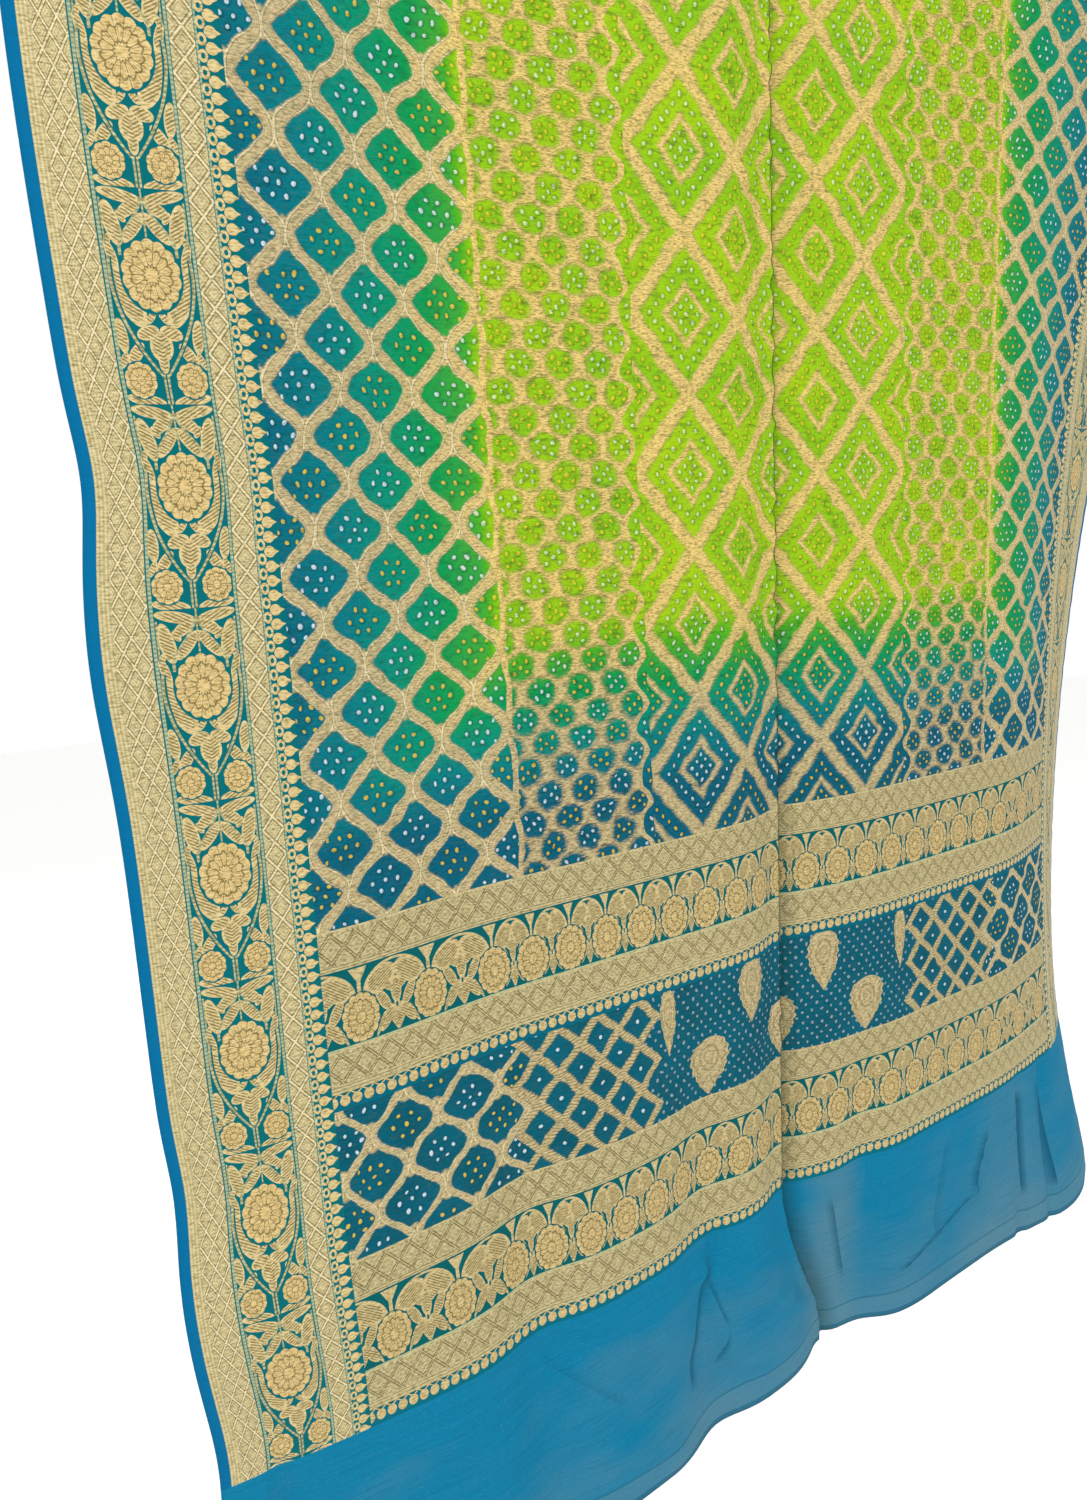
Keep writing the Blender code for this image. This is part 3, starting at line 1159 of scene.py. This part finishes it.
def band_vine(laid, low):
    """Gold share, dark lines and flowers of the vine, at this depth below the band's top."""
    wide = laid.near.below(PACE_CHANGES)
    close_count = (laid.near - PACE_CHANGES) / CLOSE_PACE + 2.0
    wide_count = (laid.near - FIRST_FLOWER) / WIDE_PACE
    count = chosen(close_count, wide_count, wide)
    out = count.folded(0.5) * (2 * ARCH_HALF)
    true_out = out * chosen(CLOSE_PACE / WIDE_PACE, 1.0, wide)
    point = spot(out, low)
    true_point = spot(true_out, low)
    bloom, bloom_lines = flower(true_point, *BAND_FLOWER, 14)
    leaves = least(*(leaf_ring(point, leaf, BAND_LEAF_SCALE) for leaf in BAND_LEAVES))
    arch = oval(point, (ARCH_HALF, 44.5), (21.8, 17.6)).near(1.0, 0.045) * low.below(45.0)
    stem = (ARCH_HALF - out).near(1.3, 0.55) * low.between(33.0, 70.0)
    fan = out.below((37.0 - low) * 0.6) * low.between(26.6, 36.0)
    neck = out.below(1.3) * low.between(34.0, 44.0)
    shown = outside(true_point, ROUND_BAND_FLOWER)
    gold = either(bloom, either(leaves.below(1.0), arch, stem, fan, neck) * shown)
    hatch = hatched(out * 0.7 + low, HATCH_PITCH).below(0.42) * leaves.below(0.76) * shown * 0.75
    return gold, either(bloom_lines * bloom * 0.85, hatch), bloom


def lozenge_rows(near, low):
    """Shares of dark and of pale thread of both rows of lozenges."""
    darks, pales = [], []
    for starts, ends in LOZENGE_ROWS:
        inside = low.between(starts, ends)
        dark, pale = lozenges(near, low - (starts + 1.2), *BAND_LOZENGE, BAND_LINE)
        darks.append(dark * inside)
        pales.append(pale * inside)
    return either(*darks), either(*pales)


def draw_band(laid):
    """Both bands: the second repeats the first, drawn a little shorter."""
    second = laid.down.above(900.0)
    low = (laid.down - BAND_TOPS[0]).repeated(BAND_REPEAT) * chosen(1.0, BAND_2_STRETCH, second)
    near = laid.near
    vine, vine_lines, bloom = band_vine(laid, low)
    in_vine = low.between(*VINE_ROW)
    solid = either(*(low.between(*row) for row in SOLID_ROWS))
    row_dark, row_pale = lozenge_rows(near, low)
    ruled = either(*(low.near(level, 0.3) * share for level, share in RULED_LINES))
    dark = either(row_dark, ruled, vine_lines * in_vine)
    along = near.folded(SCALLOP_PITCH / 2)
    scallop = oval(spot(along, low), (SCALLOP_PITCH / 2, 106.9), (3.3, 3.5))
    zigzag = (low - 101.6).near(along * 0.7, 0.55) * low.below(104.6)
    hem = either(scallop.below(1.0), zigzag)
    gold = either(solid, vine * in_vine, hem)
    line = low.near(74.0, 0.6)
    beyond = either(low.above(103.0), low.below(0.8))
    ground = over(BAND_GROUND, dyed(chosen(0.97, 0.93, second)), beyond)
    colour = over(ground, PALE_THREAD, line)
    tone = either(bloom * in_vine * 0.5, vine * in_vine * 0.25, hem * 0.4)
    colour = over(colour, over(BAND_GOLD, BLOOM_GOLD, tone), gold)
    colour = over(colour, PALE_GOLD, row_pale * 0.5)
    colour = over(colour, OLIVE_THREAD, dark)
    return Drawn(colour, either(gold, line * 0.6), (gold - dark * 0.5) * 0.4)


# %% [markdown]
# ## The strip between the bands
# Three things share it: the wide ropes again, a narrow lattice with a dot in each cell, and towards
# the middle a starry ground with drop-shaped figures, the old buta motif. The buta's half width is
# the root of the height times what is left of it, which is round at the top and pointed below.

# %% The strip
NET = Lattice(285.3, 894.5, 17.3, 17.3)
NET_ROPE = 3.1
ONE_DOT = ((0.0, 0.0),)
# Middles of the first and the last column of cells of the narrow lattice
NET_FIRST = NET.first_across - 2 * NET.half_across
NET_LAST = NET.first_across + 3 * NET.half_across
STARS = Lattice(0.0, 0.0, 4.7, 5.3)
BUTA_STEP = 46.3
STRIP_GROUNDS = (rgb(0, 74, 90), rgb(0, 92, 112))

# The last figure of a row may be squeezed against the narrow lattice, at this distance
Buta = namedtuple("Buta", "first top half_wide height squeezed")
UPPER_BUTAS = Buta(BUTA_STEP, 859.5, 15.5, 53.0, 366.0)
LOWER_BUTAS = Buta(0.0, 910.0, 19.0, 49.0, None)


def netted(laid):
    """The narrow lattice with one white dot in each cell, and 1 before its start and past its end."""
    near, down = laid.wobbly_near, laid.wobbly_down
    aside, along = quarter(near, down, NET)
    square = square_distance(NET)
    share = aside / NET.half_across + along / NET.half_down
    off = (share - 1.0) * square
    gold = (NET_ROPE - abs(off) + reckon("SINE", along * 3.1) * 0.35 + 0.5).clamped()
    strands = reckon("SINE", (along - aside + off) * (2 * math.pi / 4.0)).above(0.6)
    other = off.above(0.0)
    dots, peaks = dots_of(own_cell(aside, along, NET, other), ONE_DOT, 1.7)
    # The lattice ends in its own zigzag ropes on both sides
    before = (NET_FIRST - near + along - NET.half_across).above(NET_ROPE / 0.7)
    after = (near - NET_LAST - along).above(NET_ROPE / 0.7)
    net = Dotted(gold, strands * gold * 1.5, dots * (1.0 - gold), peaks, 1.0)
    return net, before, after


def buta(laid, row):
    """Share of a buta's half width, below 1 inside the figure, and its dark lines."""
    out = (500.0 * WIDTH - laid.near - row.first).folded(BUTA_STEP)
    if row.squeezed:
        out = chosen(out, abs(laid.near - row.squeezed) * 2.1, laid.near.below(380.0))
    low = (laid.down - row.top) / row.height
    inside = low.between(0.0, 1.0)
    half = reckon("SQRT", either(low, 0.0)) * (1.0 - low) * (2.6 * row.half_wide)
    scallops = reckon("SINE", low * 44.0) * 0.05
    share = out / either(half, 0.01) + (1.0 - inside) * 9.0 + scallops
    point = spot(out, laid.down - row.top)
    heart = oval(point, (0.0, 0.36 * row.height), (0.46 * row.half_wide, 0.20 * row.height))
    lines = either(
        heart.near(1.0, 0.11),
        heart.near(0.5, 0.07) * 0.6,
        (share + low * 0.5).near(0.98, 0.05) * low.above(0.2),
        (out - (low - 0.62) * row.half_wide * 1.3).near(0.0, 0.6) * low.above(0.62),
        share.near(0.86, 0.04) * 0.6,
    )
    return share, (lines * 1.4).clamped()


def starred(laid):
    """The starry ground, a white dot in each folded corner, and two rows of butas on it."""
    corners = ((0.0, 0.0), (STARS.half_across, STARS.half_down))
    cell = Cell(*quarter(laid.wobbly_near, laid.wobbly_down, STARS))
    dots, peaks = dots_of(cell, corners, 1.45)
    upper, upper_lines = buta(laid, UPPER_BUTAS)
    lower, lower_lines = buta(laid, LOWER_BUTAS)
    gold = least(upper, lower).below(1.0)
    dark = chosen(lower_lines, upper_lines, upper.below(lower)) * gold
    return Dotted(gold, dark, dots * (1.0 - gold) * 0.45, peaks, 1.0)


def draw_strip(laid):
    """Ropes, then the narrow lattice, then the starry ground with its butas."""
    ropes, edge = roped(laid, STRIP_ROPES, STRIP_ROPE)
    net, in_ropes, in_stars = netted(laid)
    both = [chosen(*pair, in_ropes) for pair in zip(net, ropes)]
    all_three = Dotted(*(chosen(*pair, in_stars) for pair in zip(both, starred(laid))))
    ground = over(*STRIP_GROUNDS, noise(laid.flat, 40.0, 30.0, 1.0))
    drawn = dotted_cloth(laid, all_three, ground)
    return drawn._replace(colour=over(drawn.colour, PALE_GOLD, edge * in_ropes * 0.7))


# %% [markdown]
# ## The plain end
# Below the last scallops the cloth has no gold. It is thin there, so light shows through in grey
# patches, and the turned hem at the very edge is two layers thick and a little darker.

# %% The plain end
HEM_DEPTH = 22.0
PLAIN_BLUE = rgb(2, 112, 148)
PLAIN_GREY = rgb(78, 122, 140)
HEM_BLUE = rgb(8, 84, 112)
FOLD_SHADE_BLUE = rgb(0, 76, 104)

# Where painted light makes it greyer: millimetres across, and how much
Patch = namedtuple("Patch", "middle half share")
PATCHES = (
    Patch(552.0, 34.0, 0.75),
    Patch(800.0, 70.0, 0.55),
    Patch(380.0, 60.0, 0.15),
)

# Painted shade beside the cloth's folds, dark on one side: from and to, in millimetres across and
# down
FoldShade = namedtuple("FoldShade", "across0 down0 across1 down1 wide share")
FOLD_SHADES = (
    FoldShade(400.0, 1096.0, 370.0, 1202.0, 12.0, 0.8),
    FoldShade(398.0, 1112.0, 420.0, 1172.0, 5.0, 0.7),
    FoldShade(404.0, 1204.0, 420.0, 1172.0, -6.0, 0.7),
    FoldShade(552.0, 1104.0, 574.0, 1196.0, -9.0, 0.7),
    FoldShade(628.0, 1207.0, 742.0, 1172.0, 6.0, 0.9),
    FoldShade(742.0, 1172.0, 766.0, 1112.0, 9.0, 0.8),
    FoldShade(700.0, 1100.0, 676.0, 1200.0, 14.0, 0.3),
    FoldShade(826.0, 1096.0, 828.0, 1212.0, 9.0, 0.9),
    FoldShade(868.0, 1096.0, 884.0, 1222.0, -16.0, 0.9),
    FoldShade(232.0, 1100.0, 300.0, 1170.0, 8.0, 0.25),
)


def shade_of_fold(laid, fold):
    """Painted shade: darkest on the fold's line, fading out within its width on one side, 0 on the
    other.
    """
    run_across, run_down = fold.across1 - fold.across0, fold.down1 - fold.down0
    length = math.hypot(run_across, run_down)
    right, down = laid.across - fold.across0, laid.down - fold.down0
    along = right * (run_across / length) + down * (run_down / length)
    aside = right * (run_down / length) - down * (run_across / length)
    fading = 1.0 - aside / fold.wide
    ends = least(along, length - along) / 12.0
    return fading.clamped() * fading.below(1.0) * ends.clamped() * fold.share


def draw_plain(laid):
    """Blue with grey patches of painted light, painted shade beside the folds, level ribs and the
    turned hem.
    """
    cloud = noise(laid.flat, 120.0, 60.0, 2.0)
    ribs = noise(laid.flat, 60.0, 1.6, 1.0)
    lighter = (laid.down - (GOLD_END + 40.0)) / 130.0
    # Shares of the grey patches of painted light
    shares = [
        (1.3 - abs(laid.across - patch.middle) / patch.half).clamped() * patch.share
        for patch in PATCHES
    ]
    grey = ((cloud - 0.5) * 1.2 + lighter * 0.5 + sum(shares)).clamped()
    colour = over(PLAIN_BLUE, PLAIN_GREY, grey * 0.85)
    # Painted shade beside the folds of the plain end
    folds = either(*(shade_of_fold(laid, fold) for fold in FOLD_SHADES))
    colour = over(colour, FOLD_SHADE_BLUE, folds)
    colour = over(colour, HEM_BLUE, (0.55 - ribs).clamped() * 0.7)
    hem_line = 1000.0 * DROP - HEM_DEPTH
    colour = over(colour, PLAIN_GREY, laid.down.above(hem_line) * 0.45)
    colour = over(colour, HEM_BLUE, laid.down.near(hem_line, 0.7) * 0.6)
    colour = over(colour, HEM_BLUE, laid.down.above(1000.0 * DROP - 5.0) * 0.6)
    return Drawn(colour, ribs * 0.1, ribs * 0.3)


# %% [markdown]
# ## Dressing the sheet
# Each square of the grid knows its zone from the place of its middle, so all the material numbers
# are found in one go. Solidify then gives the sheet its thickness, as thin as real georgette with
# its gold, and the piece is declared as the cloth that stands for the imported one.

# %% Give each zone its material
Finish = namedtuple("Finish", "name draw pucker")
FINISHES = (
    Finish("gold_border", draw_border, 0.0006),
    Finish("rope_lattice", draw_ropes, 0.0020),
    Finish("round_cells", draw_rounds, 0.0028),
    Finish("diamonds", draw_diamonds, 0.0026),
    Finish("gold_band", draw_band, 0.0008),
    Finish("dotted_strip", draw_strip, 0.0014),
    Finish("plain_end", draw_plain, 0.0005),
)
BORDER, ROPES, ROUNDS, MIDDLE, BAND, STRIP, PLAIN = range(len(FINISHES))


def zone_materials():
    """Number of the finish of each square, from the row and column of its zone."""
    field = [BORDER, ROPES, ROUNDS, *[MIDDLE] * 3, ROUNDS, ROPES, BORDER]
    banded = [BORDER, *[BAND] * 7, BORDER]
    strip = [BORDER, *[STRIP] * 7, BORDER]
    table = np.array([field, banded, strip, banded, [PLAIN] * 9])
    middles_across = (ACROSS[:-1] + ACROSS[1:]) / 2 * WIDTH
    middles_down = (DOWN[:-1] + DOWN[1:]) / 2
    rows = zone_of(middles_down, ZONES_DOWN)
    columns = zone_of(middles_across, ZONES_ACROSS)
    return table[rows[:, None], columns[None, :]].ravel()


for finish in FINISHES:
    cloth.data.materials.append(woven_material(finish.name, finish.draw, finish.pucker))
cloth.data.polygons.foreach_set("material_index", zone_materials().astype(np.int32))
for material in cloth.data.materials:
    print(material.name, len(material.node_tree.nodes), "nodes")

body = cloth.modifiers.new("cloth thickness", "SOLIDIFY")
body.thickness = CLOTH_THICKNESS
body.offset = 0.0
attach(cloth, "root")
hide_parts("bandhani_cloth")

# %% [markdown]
# ## Where the photographer stood
# The camera stands close, to the left of the cloth and half way down it, and looks down to the
# right. So the near border looks wide and the far side falls away. Its place was fitted to the
# even rows of the pattern: rows that are level on the cloth meet at one far point in the picture.

# %% Camera
PICTURE_TALL = 1500
FOCAL_LENGTH_PIXELS = 1110.8
CAMERA_PLACE = (-0.6386, -0.5959, -0.5293)
LOOKS_RIGHT = math.radians(35.10)
LOOKS_DOWN = math.radians(10.866)
LEANS = math.radians(-2.950)


def camera_place():
    """Its place, after a turn to the right, a nod down and a lean, each about its own axis."""
    return (
        Matrix.Translation(CAMERA_PLACE)
        @ Matrix.Rotation(-LOOKS_RIGHT, 4, "Z")
        @ Matrix.Rotation(math.radians(90.0) - LOOKS_DOWN, 4, "X")
        @ Matrix.Rotation(LEANS, 4, "Z")
    )


lens = bpy.data.cameras.new("camera")
lens.sensor_fit = "AUTO"
lens.lens = FOCAL_LENGTH_PIXELS * lens.sensor_width / PICTURE_TALL
lens.clip_start = 0.01
viewer = added_object("camera", lens)
viewer.matrix_world = camera_place()
bpy.context.scene.camera = viewer
print(f"camera of {lens.lens:.1f} mm at {CAMERA_PLACE}")

# %% [markdown]
# ## Soft light and a pale floor
# A bright even room gives the photo's white surround and soft shading. One large lamp high on the
# viewer's left makes the folds and the puckers read, and a weak one fills in from the right. The
# floor lies below the hem, as the cloth hangs clear of it.

# %% Lights and floor
LAMP_AIM = Vector((0.0, 0.0, -0.6))
Lamp = namedtuple("Lamp", "name place size power")
LAMPS = (
    Lamp("window light", (-1.9, -2.0, 0.9), 1.6, 40.0),
    Lamp("fill light", (2.2, -1.8, -0.2), 2.0, 5.0),
    Lamp("back light", (0.6, 2.4, 0.4), 2.0, 20.0),
)
ROOM_BRIGHTNESS = 1.0
FLOOR_DROP = 1.55
FLOOR_HALF = 6.0

for lamp in LAMPS:
    light = bpy.data.lights.new(lamp.name, "AREA")
    light.size = lamp.size
    light.energy = lamp.power
    holder = added_object(lamp.name, light)
    holder.location = lamp.place
    # A lamp shines along its -Z
    away = Vector(lamp.place) - LAMP_AIM
    holder.rotation_euler = away.to_track_quat("Z", "Y").to_euler()

room = bpy.data.worlds.new("bright room")
room.use_nodes = True
glow = room.node_tree.nodes["Background"].inputs
glow["Color"].default_value = (1.0, 1.0, 1.0, 1.0)
glow["Strength"].default_value = ROOM_BRIGHTNESS
bpy.context.scene.world = room
bpy.context.scene.view_settings.view_transform = "Standard"

corners = np.array([(-1, -1), (1, -1), (1, 1), (-1, 1)]) * FLOOR_HALF
floor_mesh = bpy.data.meshes.new("floor")
floor_mesh.from_pydata([(x, y, -FLOOR_DROP) for x, y in corners], [], [(0, 1, 2, 3)])
paint = bpy.data.materials.new("pale_floor")
paint.use_nodes = True
coat = paint.node_tree.nodes["Principled BSDF"].inputs
coat["Base Color"].default_value = rgb(250, 250, 248)
coat["Roughness"].default_value = 0.9
floor_mesh.materials.append(paint)
added_object("floor", floor_mesh)
